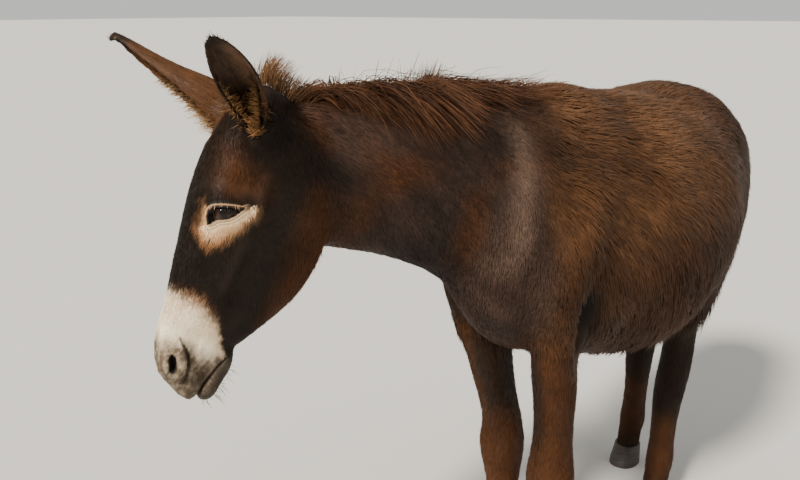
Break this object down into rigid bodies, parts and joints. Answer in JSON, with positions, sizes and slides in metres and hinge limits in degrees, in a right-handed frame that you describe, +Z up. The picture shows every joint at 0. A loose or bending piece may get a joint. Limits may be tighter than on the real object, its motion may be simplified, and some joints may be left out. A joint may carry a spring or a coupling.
{
  "type": "donkey",
  "caption": "Life-size still model of a standing dark brown donkey with its head lowered, pale muzzle and eye rings, spread ears",
  "frame": {"origin": "on the floor, under the middle of the model's box", "axes": "+Z up; the donkey faces -Y, and its left side is +X; the body's length runs along Y"},
  "size_m": [0.6958, 1.8305, 1.3723],
  "materials": {
    "coat": "matte shaggy hair",
    "dark_coat": "matte short hair",
    "red_coat": "matte hair",
    "muzzle": "matte short-haired skin",
    "hoof": "dull horn",
    "eye": "wet gloss"
  },
  "bodies": {
    "root": {"trunk": "coat", "foreleg_left_upper": "coat", "foreleg_right_upper": "coat", "hindleg_left_upper": "coat", "hindleg_right_upper": "coat", "ear_left": "coat", "ear_right": "coat", "tail": "coat", "head": "dark_coat", "neck": "dark_coat", "tail_tuft": "dark_coat", "mane": "red_coat", "foreleg_left_lower": "red_coat", "foreleg_right_lower": "red_coat", "hindleg_left_lower": "red_coat", "hindleg_right_lower": "red_coat", "muzzle": "muzzle", "hoof_fore_left": "hoof", "hoof_fore_right": "hoof", "hoof_hind_left": "hoof", "hoof_hind_right": "hoof", "eye_left": "eye", "eye_right": "eye"}
  },
  "joints": []
}
